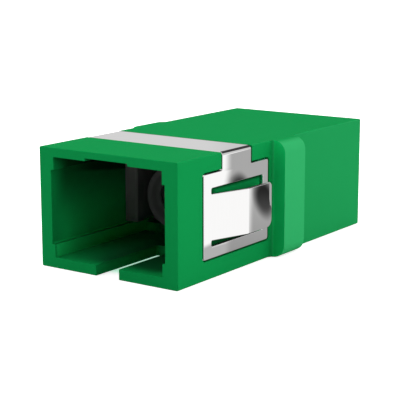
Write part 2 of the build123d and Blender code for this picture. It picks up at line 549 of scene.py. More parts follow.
@dataclass(frozen=True)
class MattGrey:
    """Dark grey matt plastic of the inserts, with painted shade in corners and in the funnel, and darker at
    the outer end.
    """

    colour: Colour = (0.175, 0.163, 0.168, 1.0)
    pale: Colour = (0.21, 0.196, 0.203, 1.0)
    pale_scale: float = 0.8
    # Painted shade for narrow corners and the funnel.
    painted_deep_shade: Colour = (0.02, 0.019, 0.02, 1.0)
    end: Colour = (0.105, 0.10, 0.104, 1.0)
    end_y: Span = (4.9, 5.2)
    axis_height: float = 4.655
    funnel: Span = (1.9, 2.1)
    funnel_share: float = 0.55
    corner_reach: float = 2.0
    corner_open: Span = (0.4, 0.9)
    rough_low: float = 0.5
    rough_high: float = 0.66
    specular: float = 0.35
    grain_scale: float = 7.0
    grain_depth: float = 0.005

    def make(self) -> bpy.types.Material:
        """Build the material.

        Returns:
            The material.
        """
        material, wiring, shader = new_surface("matt_grey")
        where = millimetre_place(wiring)
        x, y, z = wiring.split(where)
        grain = wiring.noise(where, self.grain_scale, detail=3.0, roughness=0.6)
        colour = wiring.tint(wiring.noise(where, self.pale_scale, detail=3.0), self.colour, self.pale)
        colour = wiring.tint(wiring.ease(wiring.positive(y), *self.end_y), colour, self.end)
        up = wiring.sum("SUBTRACT", z, self.axis_height)
        radius = wiring.sum("MULTIPLY_ADD", up, up, wiring.sum("POWER", x, 2.0))
        radius = wiring.sum("POWER", radius, 0.5)
        # Painted shade in narrow corners and in the funnel.
        lit = wiring.ease(wiring.openness(self.corner_reach), *self.corner_open)
        lit = wiring.times(lit, wiring.ease(radius, *self.funnel, self.funnel_share, 1.0))
        wiring.feed(shader.inputs["Base Color"], wiring.tint(lit, self.painted_deep_shade, colour))
        wiring.feed(shader.inputs["Roughness"], wiring.blend(grain, self.rough_low, self.rough_high))
        shader.inputs["Specular IOR Level"].default_value = self.specular
        wiring.feed(shader.inputs["Normal"], wiring.relief(grain, self.grain_depth))
        return material


@dataclass(frozen=True)
class GroundCeramic:
    """White zirconia with the fine rings that centreless grinding leaves, and painted shade on its ends."""

    colour: Colour = (0.86, 0.85, 0.81, 1.0)
    shade: Colour = (0.80, 0.79, 0.75, 1.0)
    shade_scale: float = 1.2
    # Painted shade on the sleeve's ends.
    end: Colour = (0.05, 0.05, 0.047, 1.0)
    end_y: Span = (4.5, 4.6)
    rough_low: float = 0.14
    rough_high: float = 0.26
    ring_stretch: tuple[float, float, float] = (0.4, 12.0, 0.4)
    ring_depth: float = 0.0006

    def make(self) -> bpy.types.Material:
        """Build the material.

        Returns:
            The material.
        """
        material, wiring, shader = new_surface("ground_ceramic")
        where = millimetre_place(wiring)
        rings = wiring.noise(wiring.stretched(where, self.ring_stretch), 1.0, detail=3.0)
        colour = wiring.tint(wiring.noise(where, self.shade_scale), self.colour, self.shade)
        # Painted shade on the ends.
        end_painted_shade = wiring.ease(wiring.positive(wiring.split(where)[1]), *self.end_y)
        wiring.feed(shader.inputs["Base Color"], wiring.tint(end_painted_shade, colour, self.end))
        wiring.feed(shader.inputs["Roughness"], wiring.blend(rings, self.rough_low, self.rough_high))
        wiring.feed(shader.inputs["Normal"], wiring.relief(rings, self.ring_depth))
        return material


@dataclass(frozen=True)
class RolledSteel:
    """Bright rolled spring steel, mirror smooth, with faint rolling lines and dull cut edges that carry
    painted green reflections.
    """

    colour: Colour = (0.90, 0.895, 0.89, 1.0)
    shade: Colour = (0.87, 0.865, 0.86, 1.0)
    # Dull cut edge, painted dark green as a reflection of the shaded housing.
    dull_cut_painted_green: Colour = (0.03, 0.05, 0.038, 1.0)
    # Painted bright green reflection on the cut edges at the slot ends.
    painted_green_reflection: Colour = (0.06, 0.8, 0.38, 1.0)
    slot_y: Span = (-3.5, -3.0)
    cut_rough: float = 0.45
    cut_turn: Span = (0.90, 0.96)
    side_top: float = 8.6
    line_stretch: tuple[float, float, float] = (0.5, 22.0, 0.5)
    line_depth: float = 0.000008
    wave_scale: float = 0.45
    wave_depth: float = 0.0002

    def make(self) -> bpy.types.Material:
        """Build the material.

        Returns:
            The material.
        """
        material, wiring, shader = new_surface("rolled_steel")
        where = millimetre_place(wiring)
        _, y, z = wiring.split(where)
        on_side = wiring.sum("LESS_THAN", z, self.side_top)
        lines = wiring.noise(wiring.stretched(where, self.line_stretch), 1.0, detail=3.0, roughness=0.6)
        bright = wiring.tint(lines, self.colour, self.shade)
        # Painted green reflection at the slot ends, over the dull, painted dark green cut edges.
        painted_green_reflection = wiring.times(wiring.ease(y, *self.slot_y), on_side)
        dull_cut_painted_green = wiring.tint(painted_green_reflection, self.dull_cut_painted_green, self.painted_green_reflection)
        cut = self.cut_share(wiring, on_side)
        wiring.feed(shader.inputs["Base Color"], wiring.tint(cut, bright, dull_cut_painted_green))
        wiring.feed(shader.inputs["Metallic"], wiring.sum("SUBTRACT", 1.0, cut))
        wiring.feed(shader.inputs["Roughness"], wiring.times(cut, self.cut_rough))
        wave = wiring.relief(wiring.noise(where, self.wave_scale, detail=1.0), self.wave_depth)
        wiring.feed(shader.inputs["Normal"], wiring.relief(lines, self.line_depth, wave))
        return material

    def cut_share(self, wiring: Wiring, on_side: Socket) -> Socket:
        """One on the sheet's cut edges and nothing on its faces.

        Args:
            wiring: the material's wiring.
            on_side: one below the strap and nothing on it.

        Returns:
            The share.
        """
        _, along, up = facing_axes(wiring)
        endwise = wiring.ease(wiring.positive(along), *self.cut_turn)
        upright = wiring.ease(wiring.positive(up), *self.cut_turn)
        return wiring.sum("MAXIMUM", endwise, wiring.times(upright, on_side))


@contextmanager
def edited(mesh: bpy.types.Mesh) -> Iterator[bmesh.types.BMesh]:
    """Open a mesh for changes and write them back.

    Args:
        mesh: the mesh.

    Yields:
        Its changeable copy.
    """
    skin = bmesh.new()
    skin.from_mesh(mesh)
    yield skin
    skin.to_mesh(mesh)
    skin.free()


def place_object(name: str, data: bpy.types.ID) -> bpy.types.Object:
    """Put new data into the scene.

    Args:
        name: the object's name.
        data: a mesh or a camera.

    Returns:
        The object.
    """
    made = bpy.data.objects.new(name, data)
    bpy.context.scene.collection.objects.link(made)
    return made


def add_bevel(piece: bpy.types.Object, width: float, segments: int, method: str) -> bpy.types.BevelModifier:
    """Add a bevel that breaks a piece's edges.

    Args:
        piece: the object.
        width: width of the broken edge, in millimetres.
        segments: facets across it.
        method: how the modifier picks its edges.

    Returns:
        The modifier.
    """
    bevel = piece.modifiers.new("edge_break", "BEVEL")
    bevel.limit_method = method
    bevel.width = width * MM
    bevel.segments = segments
    bevel.use_clamp_overlap = False
    bevel.loop_slide = False
    return bevel


def bake_modifiers(piece: bpy.types.Object) -> bpy.types.Object:
    """Turn a piece's modifiers into a plain mesh.

    Args:
        piece: the object.

    Returns:
        The same object, with no modifier left.
    """
    bpy.context.view_layer.update()
    graph = bpy.context.evaluated_depsgraph_get()
    shaped = piece.evaluated_get(graph)
    mesh = bpy.data.meshes.new_from_object(shaped, preserve_all_data_layers=True, depsgraph=graph)
    mesh.name = piece.name
    piece.modifiers.clear()
    piece.data = mesh
    return piece


def steady_normals(mesh: bpy.types.Mesh, across: float = 50.0, near: float = 20.0) -> None:
    """Smooth the round stretches of a mesh, keep its flat faces flat and its unbroken edges sharp.

    At each corner of a face, the largest face round it that isn't across a sharp edge leads, and
    the faces nearly in its plane share in the normal.

    Args:
        mesh: the mesh that gets the normals.
        across: degrees from one face to another that make a sharp edge.
        near: degrees that a face may turn from the leading one and still share.
    """
    sharp, shared_turn = math.cos(math.radians(across)), math.cos(math.radians(near))
    faces_at: list[list[bpy.types.MeshPolygon]] = [[] for _ in mesh.vertices]
    for face in mesh.polygons:
        face.use_smooth = True
        for corner in face.vertices:
            faces_at[corner].append(face)
    normals = []
    for face in mesh.polygons:
        for corner in face.vertices:
            joined = [other for other in faces_at[corner] if other.normal.dot(face.normal) > sharp]
            lead = max(joined or [face], key=lambda other: other.area)
            shared = [other for other in faces_at[corner] if other.normal.dot(lead.normal) > shared_turn]
            normals.append(sum((other.normal * other.area for other in shared), Vector()).normalized())
    mesh.normals_split_custom_set(normals)


@dataclass
class EdgeBreak:
    """Small break on every sharp edge of a moulded piece. Lengths are in millimetres, turns in degrees."""

    width: float = 0.02
    segments: int = 2
    sharp_turn: float = 32.0
    weld_gap: float = 0.001
    flat_turn: float = 0.6

    def merge(self, node: str, name: str) -> bpy.types.Object:
        """Copy a CAD node as one closed skin with whole flat faces.

        Args:
            node: the CAD node's name.
            name: the new piece's name.

        Returns:
            The new object.
        """
        skin = bmesh.new()
        skin.from_mesh(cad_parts[node].data)
        bmesh.ops.remove_doubles(skin, verts=skin.verts, dist=self.weld_gap * MM)
        flat = math.radians(self.flat_turn)
        bmesh.ops.dissolve_limit(skin, angle_limit=flat, verts=skin.verts, edges=skin.edges)
        mesh = bpy.data.meshes.new(name)
        skin.to_mesh(mesh)
        skin.free()
        return place_object(name, mesh)

    def weigh(self, mesh: bpy.types.Mesh, spared: Callable[[Vector], bool]) -> None:
        """Mark the sharp edges for the bevel.

        Args:
            mesh: the piece's mesh.
            spared: says of a place, in millimetres, whether an edge there stays sharp.
        """
        with edited(mesh) as skin:
            weight = skin.edges.layers.float.new("bevel_weight_edge")
            for edge in skin.edges:
                middle = (edge.verts[0].co + edge.verts[1].co) / 2 / MM
                sharp = edge.calc_face_angle(0.0) > math.radians(self.sharp_turn)
                edge[weight] = float(sharp and not spared(middle))

    def soften(
        self, piece: bpy.types.Object, spared: Callable[[Vector], bool] = lambda place: False
    ) -> bpy.types.Object:
        """Break the sharp edges, then shade round faces smooth and flat ones flat.

        Args:
            piece: a mesh object.
            spared: says of a place, in millimetres, whether an edge there stays sharp.

        Returns:
            The same object with a plain mesh.
        """
        self.weigh(piece.data, spared)
        add_bevel(piece, self.width, self.segments, "WEIGHT")
        bake_modifiers(piece)
        steady_normals(piece.data)
        return piece


def dress(piece: bpy.types.Object, material: bpy.types.Material, slot: Slot, *nodes: str) -> bpy.types.Object:
    """Give a piece its finish, its body and the CAD nodes that it stands for.

    Args:
        piece: the finished object.
        material: its material.
        slot: the material slot; not used.
        nodes: CAD nodes that it replaces.

    Returns:
        The same object.
    """
    piece.data.materials.clear()
    piece.data.materials.append(material)
    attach(piece, BODY)
    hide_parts(*nodes)
    log.info("%s: %d faces", piece.name, len(piece.data.polygons))
    return piece


@dataclass
class Housing:
    """The green moulding. Its rib runs out into the long rounded edges, where the edges stay as they are."""

    node: str = "housing"
    edges: EdgeBreak = field(default_factory=EdgeBreak)
    foot_x: Span = (6.0, 6.8)
    foot_y: Span = (-1.45, 2.45)
    foot_edge: float = 0.4
    top: float = 9.2

    def at_rib_foot(self, place: Vector) -> bool:
        """Find out whether the rib's foot meets a long edge of the housing at a place.

        Args:
            place: the place, in millimetres.

        Returns:
            Whether it does.
        """
        beside = self.foot_x[0] < abs(place.x) < self.foot_x[1]
        along = self.foot_y[0] < place.y < self.foot_y[1]
        return beside and along and not self.foot_edge < place.z < self.top - self.foot_edge

    def build(self, material: bpy.types.Material) -> bpy.types.Object:
        """Build and dress the housing, which the steel doesn't mirror.

        Args:
            material: its green.

        Returns:
            The housing.
        """
        piece = self.edges.soften(self.edges.merge(self.node, "housing_shell"), self.at_rib_foot)
        piece.visible_glossy = False
        return dress(piece, material, Slot.HOUSING, self.node)


@dataclass
class Insert:
    """One grey insert with its latch arms and sleeve holder."""

    side: Side
    edges: EdgeBreak = field(default_factory=lambda: EdgeBreak(width=0.025))

    def build(self, material: bpy.types.Material) -> bpy.types.Object:
        """Build and dress the insert.

        Args:
            material: its grey.

        Returns:
            The insert.
        """
        node = f"insert_{self.side.value}"
        piece = self.edges.soften(self.edges.merge(node, f"{self.side.value}_insert"))
        return dress(piece, material, Slot.INSERT, node)


@dataclass
class SplitSleeve:
    """The split ceramic sleeve."""

    node: str = "alignment_sleeve"
    edges: EdgeBreak = field(default_factory=EdgeBreak)

    def build(self, material: bpy.types.Material) -> bpy.types.Object:
        """Build and dress the sleeve."""
        piece = self.edges.soften(self.edges.merge(self.node, "split_sleeve"))
        return dress(piece, material, Slot.CERAMIC, self.node)


@dataclass
class PanelClip:
    """Strip of spring steel: a flat blank folded over the housing, with a sprung tongue at each side.

    The blank lies with X along the strip from the middle of the strap, and Y along the optical axis.
    Sizes are in millimetres and turns in degrees.
    """

    node: str = "panel_clip"
    sheet: float = 0.25
    housing_half: float = 6.4
    housing_top: float = 9.2
    bend_inside: float = 0.05
    leg_width: float = 3.8
    plate_front: float = -10.15
    plate_back: float = -1.55
    plate_top: float = 7.85
    plate_bottom: float = 1.55
    plate_round: float = 0.2
    shoulder_round: float = 0.1
    tongue_height: float = 3.44
    tongue_centre: float = 4.58
    tongue_slot: float = 0.43
    tongue_root: float = -9.15
    tongue_tip: float = -2.56
    tongue_upper_round: float = 0.35
    tongue_lower_round: float = 0.6
    tongue_tilt: float = 0.009
    window_back: float = -2.29
    slot_round: float = 0.12
    tongue_reach: float = 1.0
    tongue_ramp: float = 3.2
    root_soft: float = 0.033
    crest_soft: float = 0.057
    tip_roll: float = 0.36
    tip_drop: float = 0.011
    tip_lines: int = 5
    roll_foot: float = 4.3
    roll_head: float = 5.5
    roll_lines: int = 6
    roll_past: float = 0.0625
    bend_lines: int = 14
    ramp_lines: int = 14
    corner_lines: int = 6
    edge_break: float = 0.045
    edge_segments: int = 3
    edge_turn: float = 50.0
    flat_turn: float = 0.1
    cut_gap: float = 1e-5

    @property
    def leaf_middle(self) -> float:
        """X of the middle of the sheet at the side."""
        return self.housing_half - self.sheet / 2

    @property
    def strap_middle(self) -> float:
        """Z of the middle of the sheet on top."""
        return self.housing_top - self.sheet / 2

    @property
    def bend_radius(self) -> float:
        """Radius of the bend at the middle of the sheet."""
        return self.bend_inside + self.sheet / 2

    @property
    def strap_half(self) -> float:
        """Half the flat length of the strap."""
        return self.leaf_middle - self.bend_radius

    @property
    def leg_span(self) -> Span:
        """Y of the leg's front and rear edges."""
        centre = (self.plate_front + self.plate_back) / 2
        return centre - self.leg_width / 2, centre + self.leg_width / 2

    @property
    def tongue_span(self) -> Span:
        """Distances along the strip of the tongue's upper and lower edges."""
        reach = self.tongue_height / 2
        return self.along(self.tongue_centre + reach), self.along(self.tongue_centre - reach)

    @property
    def crest_reach(self) -> float:
        """How far the tongue stands out where its ramp ends."""
        level_length = self.tongue_tip - self.tongue_root - self.tongue_ramp
        return self.tongue_reach - self.tongue_tilt * level_length

    def along(self, height: float) -> float:
        """Distance along the strip, from the middle of the strap, to a height on the side."""
        arc_end = self.strap_half + self.bend_radius * math.pi / 2
        return arc_end + self.strap_middle - self.bend_radius - height

    def rounded(self, corners: list[tuple[float, float, float]]) -> list[Vector]:
        """Outline through corners, each with its own radius.

        Args:
            corners: X, Y and radius of each corner, in order.

        Returns:
            The outline's points.
        """
        points = []
        for i, (x, y, radius) in enumerate(corners):
            corner = Vector((x, y))
            if not radius:
                points.append(corner)
                continue
            before = (Vector(corners[i - 1][:2]) - corner).normalized()
            after = (Vector(corners[(i + 1) % len(corners)][:2]) - corner).normalized()
            start, stop = corner + before * radius, corner + after * radius
            centre = corner + (before + after) * radius
            for k in range(self.corner_lines + 1):
                turn = k / self.corner_lines * math.pi / 2
                arm = (start - centre) * math.cos(turn) + (stop - centre) * math.sin(turn)
                points.append(centre + arm)
        return points

    def outline(self) -> list[Vector]:
        """Outside edge of the whole blank.

        Returns:
            The outline's points.
        """
        top, bottom = self.along(self.plate_top), self.along(self.plate_bottom)
        low, high = self.leg_span
        corner, shoulder = self.plate_round, self.shoulder_round
        half = [
            (top, low, shoulder),
            (top, self.plate_front, corner),
            (bottom, self.plate_front, corner),
            (bottom, self.plate_back, corner),
            (top, self.plate_back, corner),
            (top, high, shoulder),
        ]
        return self.rounded(half + [(-x, y, r) for x, y, r in reversed(half)])

    def window(self, side: int) -> list[Vector]:
        """Edge of the slot round one tongue.

        Args:
            side: 1 for the side at +X, -1 for the other.

        Returns:
            The slot's outline.
        """
        inner = self.tongue_span
        outer = inner[0] - self.tongue_slot, inner[1] + self.tongue_slot
        corner = self.slot_round
        corners = [
            (outer[0], self.tongue_root, corner),
            (outer[0], self.window_back, corner),
            (outer[1], self.window_back, corner),
            (outer[1], self.tongue_root, corner),
            (inner[1], self.tongue_root, corner),
            (inner[1], self.tongue_tip, self.tongue_lower_round),
            (inner[0], self.tongue_tip, self.tongue_upper_round),
            (inner[0], self.tongue_root, corner),
        ]
        return self.rounded([(side * x, y, r) for x, y, r in corners])

    def folds(self) -> list[tuple[Vector, Vector]]:
        """Lines across the blank where the sheet bends.

        Returns:
            Both ends of each line.
        """
        lines = []
        low, high = self.leg_span
        inner = self.tongue_span
        rolled_y = self.tongue_tip - self.tip_roll, self.tongue_tip + self.roll_past
        for side in (-1, 1):
            for k in range(self.bend_lines + 1):
                x = side * (self.strap_half + self.bend_radius * math.pi / 2 * k / self.bend_lines)
                lines.append((Vector((x, low)), Vector((x, high))))
            for y in self.tongue_lines():
                lines.append((Vector((side * inner[0], y)), Vector((side * inner[1], y))))
            for k in range(self.roll_lines + 1):
                height = self.roll_foot + (self.roll_head - self.roll_foot) * k / self.roll_lines
                x = side * self.along(height)
                lines.append((Vector((x, rolled_y[0])), Vector((x, rolled_y[1]))))
        return lines

    def tongue_lines(self) -> list[float]:
        """Places along the tongue where it bends: at its root, at its crest and towards its tip.

        Returns:
            Y of each line.
        """
        slope = self.crest_reach / self.tongue_ramp
        root_half, crest_half = self.root_soft / slope, self.crest_soft / (slope - self.tongue_tilt)
        root = self.tongue_root + root_half
        places = []
        for middle, half in ((root, root_half), (root + self.tongue_ramp, crest_half)):
            for k in range(self.ramp_lines + 1):
                y = middle - half + 2 * half * k / self.ramp_lines
                if y > self.tongue_root + self.slot_round:
                    places.append(y)
        places += [self.tongue_tip - self.tip_roll * (1 - k / self.tip_lines) for k in range(self.tip_lines)]
        return places

    def blank(self) -> bpy.types.Object:
        """Cut the flat blank, in metres.

        Returns:
            The blank.
        """
        points: list[Vector] = []
        edges: list[tuple[int, int]] = []
        loops = [self.outline(), self.window(1), self.window(-1)]
        for loop in loops:
            start = len(points)
            points += loop
            edges += [(start + i, start + (i + 1) % len(loop)) for i in range(len(loop))]
        for first, last in self.folds():
            edges.append((len(points), len(points) + 1))
            points += [first, last]
        verts, _, faces, *_ = delaunay_2d_cdt(points, edges, [], 0, self.cut_gap)
        middles = [sum((verts[i] for i in face), Vector((0, 0))) / len(face) for face in faces]
        kept = [face for face, middle in zip(faces, middles) if self.covered(middle, loops)]
        mesh = bpy.data.meshes.new("clip_blank")
        mesh.from_pydata([(v.x * MM, v.y * MM, 0.0) for v in verts], [], kept)
        with edited(mesh) as skin:
            bmesh.ops.delete(skin, geom=[v for v in skin.verts if not v.link_faces], context="VERTS")
            bmesh.ops.recalc_face_normals(skin, faces=skin.faces)
        return place_object("spring_clip", mesh)

    @staticmethod
    def covered(point: Vector, loops: list[list[Vector]]) -> bool:
        """Find out whether a point of the blank is inside the outline and outside both windows.

        Args:
            point: the point.
            loops: the outline and the windows.

        Returns:
            Whether it is on steel.
        """
        inside = False
        for loop in loops:
            for first, last in zip(loop, loop[1:] + loop[:1]):
                if (first.y > point.y) != (last.y > point.y):
                    cross = first.x + (point.y - first.y) / (last.y - first.y) * (last.x - first.x)
                    inside ^= point.x < cross
        return inside

    def fold_tree(self, material: bpy.types.Material) -> tuple[bpy.types.NodeTree, dict[str, str]]:
        """Node tree that folds the blank round the housing and lifts its tongues.

        Args:
            material: the clip's steel.

        Returns:
            The tree, and the identifier of each named input.
        """
        tree = bpy.data.node_groups.new("fold_clip", "GeometryNodeTree")
        wiring = Wiring(tree)
        tree.interface.new_socket("Geometry", in_out="INPUT", socket_type="NodeSocketGeometry")
        tree.interface.new_socket("Geometry", in_out="OUTPUT", socket_type="NodeSocketGeometry")
        names: dict[str, str] = {}
        for name in (*self.fold_sizes(), "Tongue Tilt"):
            made = tree.interface.new_socket(name, in_out="INPUT", socket_type="NodeSocketFloat")
            names[name] = made.identifier
        given = wiring.node("NodeGroupInput").outputs
        strip, across, _ = wiring.split(wiring.node("GeometryNodeInputPosition").outputs[0])
        distance, side = wiring.positive(strip), wiring.sum("SIGN", strip)
        radius, flat = given["Bend Radius"], given["Strap Half"]
        past_flat = wiring.sum("SUBTRACT", distance, flat)
        turn = wiring.sum("MAXIMUM", wiring.sum("DIVIDE", past_flat, radius), 0.0)
        turn = wiring.sum("MINIMUM", turn, math.pi / 2)
        arc_end = wiring.times(radius, math.pi / 2)
        down = wiring.sum("MAXIMUM", wiring.sum("SUBTRACT", past_flat, arc_end), 0.0)
        out = wiring.sum("MINIMUM", distance, flat)
        out = wiring.sum("MULTIPLY_ADD", wiring.sum("SINE", turn), radius, out)
        drop = wiring.sum("SUBTRACT", 1.0, wiring.sum("COSINE", turn))
        height = wiring.sum("SUBTRACT", given["Strap Height"], wiring.times(drop, radius))
        height = wiring.sum("SUBTRACT", height, down)
        lift = self.tongue_lift(wiring, given, across, height)
        folded = wiring.node("ShaderNodeCombineXYZ")
        wiring.feed(folded.inputs[0], wiring.times(side, wiring.sum("ADD", out, lift)))
        wiring.feed(folded.inputs[1], across)
        wiring.feed(folded.inputs[2], height)
        move = wiring.node("GeometryNodeSetPosition")
        wiring.feed(move.inputs["Geometry"], given["Geometry"])
        wiring.feed(move.inputs["Position"], folded.outputs[0])
        whole = wiring.node("GeometryNodeRealizeInstances")
        wiring.feed(whole.inputs[0], move.outputs[0])
        steel = wiring.node("GeometryNodeSetMaterial")
        wiring.feed(steel.inputs["Geometry"], whole.outputs[0])
        steel.inputs["Material"].default_value = material
        wiring.feed(wiring.node("NodeGroupOutput").inputs[0], steel.outputs[0])
        return tree, names

    @staticmethod
    def tongue_lift(wiring: Wiring, given: bpy.types.NodeOutputs, across: Socket, height: Socket) -> Socket:
        """How far a point of the blank springs outwards: a ramp on the tongue, and nothing elsewhere.

        The ramp ends in a nearly level leaf, whose tip is rolled in a little in its upper half.

        Args:
            wiring: the tree's wiring.
            given: the tree's inputs.
            across: place along the optical axis.
            height: height on the side.

        Returns:
            The distance in metres.
        """
        slope = wiring.sum("DIVIDE", given["Crest Reach"], given["Tongue Ramp"])
        run = wiring.times(wiring.sum("SUBTRACT", across, given["Tongue Root"]), slope)
        run = wiring.sum("SUBTRACT", run, given["Root Softness"])
        ramp = wiring.sum("SMOOTH_MAX", run, 0.0, given["Root Softness"])
        crest = wiring.sum("ADD", given["Tongue Root"], given["Tongue Ramp"])
        past_crest = wiring.sum("SUBTRACT", across, crest)
        leaf = wiring.sum("MULTIPLY_ADD", past_crest, given["Tongue Tilt"], given["Crest Reach"])
        ramp = wiring.sum("SMOOTH_MIN", ramp, leaf, given["Crest Softness"])
        roll_start = wiring.sum("SUBTRACT", given["Tongue Tip"], given["Tip Roll"])
        rolled = wiring.sum("MAXIMUM", wiring.sum("SUBTRACT", across, roll_start), 0.0)
        rolled = wiring.sum("DIVIDE", rolled, given["Tip Roll"])
        upper = wiring.ease(height, given["Roll Foot"], given["Roll Head"])
        ramp = wiring.sum("SUBTRACT", ramp, wiring.times(rolled, rolled, given["Tip Drop"], upper))
        off_middle = wiring.positive(wiring.sum("SUBTRACT", height, given["Tongue Centre"]))
        beside = wiring.sum("LESS_THAN", off_middle, given["Tongue Half"])
        before_limit = wiring.sum("LESS_THAN", across, given["Lift Limit"])
        return wiring.times(ramp, beside, before_limit)

    def fold_sizes(self) -> dict[str, float]:
        """Lengths among the folding tree's named inputs.

        Returns:
            Each length in millimetres, by its name.
        """
        return {
            "Strap Half": self.strap_half,
            "Strap Height": self.strap_middle,
            "Bend Radius": self.bend_radius,
            "Tongue Centre": self.tongue_centre,
            "Tongue Half": (self.tongue_height + self.tongue_slot) / 2,
            "Tongue Root": self.tongue_root,
            "Lift Limit": (self.tongue_tip + self.window_back) / 2,
            "Crest Reach": self.crest_reach,
            "Tongue Ramp": self.tongue_ramp,
            "Root Softness": self.root_soft,
            "Crest Softness": self.crest_soft,
            "Tongue Tip": self.tongue_tip,
            "Tip Roll": self.tip_roll,
            "Tip Drop": self.tip_drop,
            "Roll Foot": self.roll_foot,
            "Roll Head": self.roll_head,
        }

    def join_flats(self, mesh: bpy.types.Mesh) -> None:
        """Join the triangles of each flat part of the folded blank, and shade it smooth.

        Args:
            mesh: the folded blank.
        """
        with edited(mesh) as skin:
            flat = math.radians(self.flat_turn)
            bmesh.ops.dissolve_limit(skin, angle_limit=flat, verts=skin.verts, edges=skin.edges)
            for face in skin.faces:
                face.smooth = True

    def build(self, material: bpy.types.Material) -> bpy.types.Object:
        """Cut the blank, fold it, give it its thickness and broken edges, and dress it.

        Args:
            material: the clip's steel.

        Returns:
            The clip.
        """
        piece = self.blank()
        tree, names = self.fold_tree(material)
        fold = piece.modifiers.new("fold", "NODES")
        fold.node_group = tree
        for name, size in self.fold_sizes().items():
            fold[names[name]] = size * MM
        fold[names["Tongue Tilt"]] = self.tongue_tilt
        bake_modifiers(piece)
        self.join_flats(piece.data)
        wall = piece.modifiers.new("thickness", "SOLIDIFY")
        wall.thickness = self.sheet * MM
        wall.offset = 0.0
        wall.use_even_offset = True
        bevel = add_bevel(piece, self.edge_break, self.edge_segments, "ANGLE")
        bevel.angle_limit = math.radians(self.edge_turn)
        bake_modifiers(piece)
        steady_normals(piece.data)
        return dress(piece, material, Slot.STEEL, self.node)


@dataclass(frozen=True)
class ReflectedStudio:
    """What polished steel sees round it: white screens at the sides, grey between them and a dark gap above.

    Angles are in degrees, from +Y towards +X and above the horizon. The screens begin at an edge that
    leans with the height, and end low down at a slanted foot. Low down past the sides the room is dark,
    and a small dark spot lies beside the right screen.
    """

    white: float = 1.07
    pale: float = 0.69
    pale_end: float = 0.62
    pale_fall: Span = (-35.2, -33.4)
    grey: float = 0.44
    low_grey: float = 0.34
    grey_rise: Span = (-14.4, -11.5)
    dark: float = 0.05
    blot_level: Span = (0.064, 0.018)
    blot_rise: Span = (-12.3, -10.9)
    overhead: float = 0.90
    low_edge: float = 34.0
    high_edge: float = 21.0
    edge_soft: float = 0.22
    edge_lift: Span = (-1.0, 4.0)
    far_edge: Span = (98.0, 102.0)
    far_back: Span = (130.0, 136.0)
    far_top: Span = (-8.0, -6.0)
    far_level: float = 0.06
    screen_foot: float = -13.77
    foot_soft: float = 0.13
    foot_from: float = 34.93
    foot_slope: float = 0.3
    under_screen: float = 0.49
    raised: Span = (2.0, 8.0)
    gap_rise: Span = (12.0, 22.0)
    gap_top: Span = (42.0, 50.0)
    gap_side: Span = (22.0, 25.0)
    gap_left: Span = (-32.0, -29.0)
    bend_level: float = 0.66
    bend_rise: Span = (-1.0, 2.5)
    blot_place: Span = (33.34, -11.52)
    blot_size: Span = (1.0, 0.505)
    blot_soft: Span = (0.2, 1.55)
    blot_lean: float = 11.8

    def shade(self, wiring: Wiring, azimuth: Socket, height: Socket) -> Socket:
        """Brightness in a direction.

        Args:
            wiring: the world's wiring.
            azimuth: degrees from +Y towards +X.
            height: degrees above the horizon.

        Returns:
            The brightness.
        """
        turned = wiring.positive(azimuth)
        folded = wiring.sum("MINIMUM", turned, wiring.sum("SUBTRACT", 180.0, turned))
        edge = wiring.ease(height, *self.edge_lift, self.low_edge, self.high_edge)
        beside = wiring.ease(wiring.sum("SUBTRACT", folded, edge), -self.edge_soft, self.edge_soft)
        grey = wiring.ease(height, *self.grey_rise, self.low_grey, self.grey)
        level = wiring.blend(beside, grey, self.screens(wiring, azimuth, height, folded))
        behind = wiring.times(wiring.ease(turned, *self.far_edge), wiring.fade(turned, *self.far_back))
        behind = wiring.times(behind, wiring.fade(height, *self.far_top))
        level = wiring.blend(behind, level, self.far_level)
        gap = wiring.times(wiring.ease(height, *self.gap_rise), wiring.fade(azimuth, *self.gap_side))
        gap = wiring.times(gap, wiring.ease(azimuth, *self.gap_left))
        level = wiring.blend(gap, level, self.dark)
        level = wiring.blend(wiring.ease(height, *self.gap_top), level, self.overhead)
        blot_level = wiring.ease(height, *self.blot_rise, *self.blot_level)
        return wiring.blend(self.blot(wiring, azimuth, height), level, blot_level)

    def screens(self, wiring: Wiring, azimuth: Socket, height: Socket, folded: Socket) -> Socket:
        """Brightness of the side screens, and of what is under their slanted lower edges.

        Args:
            wiring: the world's wiring.
            azimuth: degrees from +Y towards +X.
            height: degrees above the horizon.
            folded: degrees from the Y axis, towards either side.

        Returns:
            The brightness.
        """
        slanted = wiring.sum("SUBTRACT", folded, self.foot_from)
        slanted = wiring.sum("MULTIPLY_ADD", slanted, self.foot_slope, height)
        above = wiring.ease(slanted, self.screen_foot - self.foot_soft, self.screen_foot + self.foot_soft)
        pale = wiring.ease(azimuth, *self.pale_fall, self.pale, self.pale_end)
        white = wiring.ease(height, *self.bend_rise, self.white, self.bend_level)
        left = wiring.times(wiring.sum("LESS_THAN", azimuth, 0.0), wiring.ease(height, *self.raised))
        return wiring.blend(above, self.under_screen, wiring.blend(left, white, pale))

    def blot(self, wiring: Wiring, azimuth: Socket, height: Socket) -> Socket:
        """Share of the small dark spot beside the right screen.

        Args:
            wiring: the world's wiring.
            azimuth: degrees from +Y towards +X.
            height: degrees above the horizon.

        Returns:
            The share.
        """
        lean = math.radians(self.blot_lean)
        across = wiring.sum("SUBTRACT", azimuth, self.blot_place[0])
        up = wiring.sum("SUBTRACT", height, self.blot_place[1])
        long_way = wiring.sum("MULTIPLY_ADD", across, math.sin(lean), wiring.times(up, math.cos(lean)))
        short_way = wiring.sum("MULTIPLY_ADD", across, math.cos(lean), wiring.times(up, -math.sin(lean)))
        parts = (self.squared(wiring, way, size) for way, size in zip((long_way, short_way), self.blot_size))
        return wiring.fade(wiring.sum("ADD", *parts), *self.blot_soft)

    @staticmethod
    def squared(wiring: Wiring, value: Socket, size: float) -> Socket:
        """Square of a value over a size."""
        share = wiring.sum("DIVIDE", value, size)
        return wiring.times(share, share)


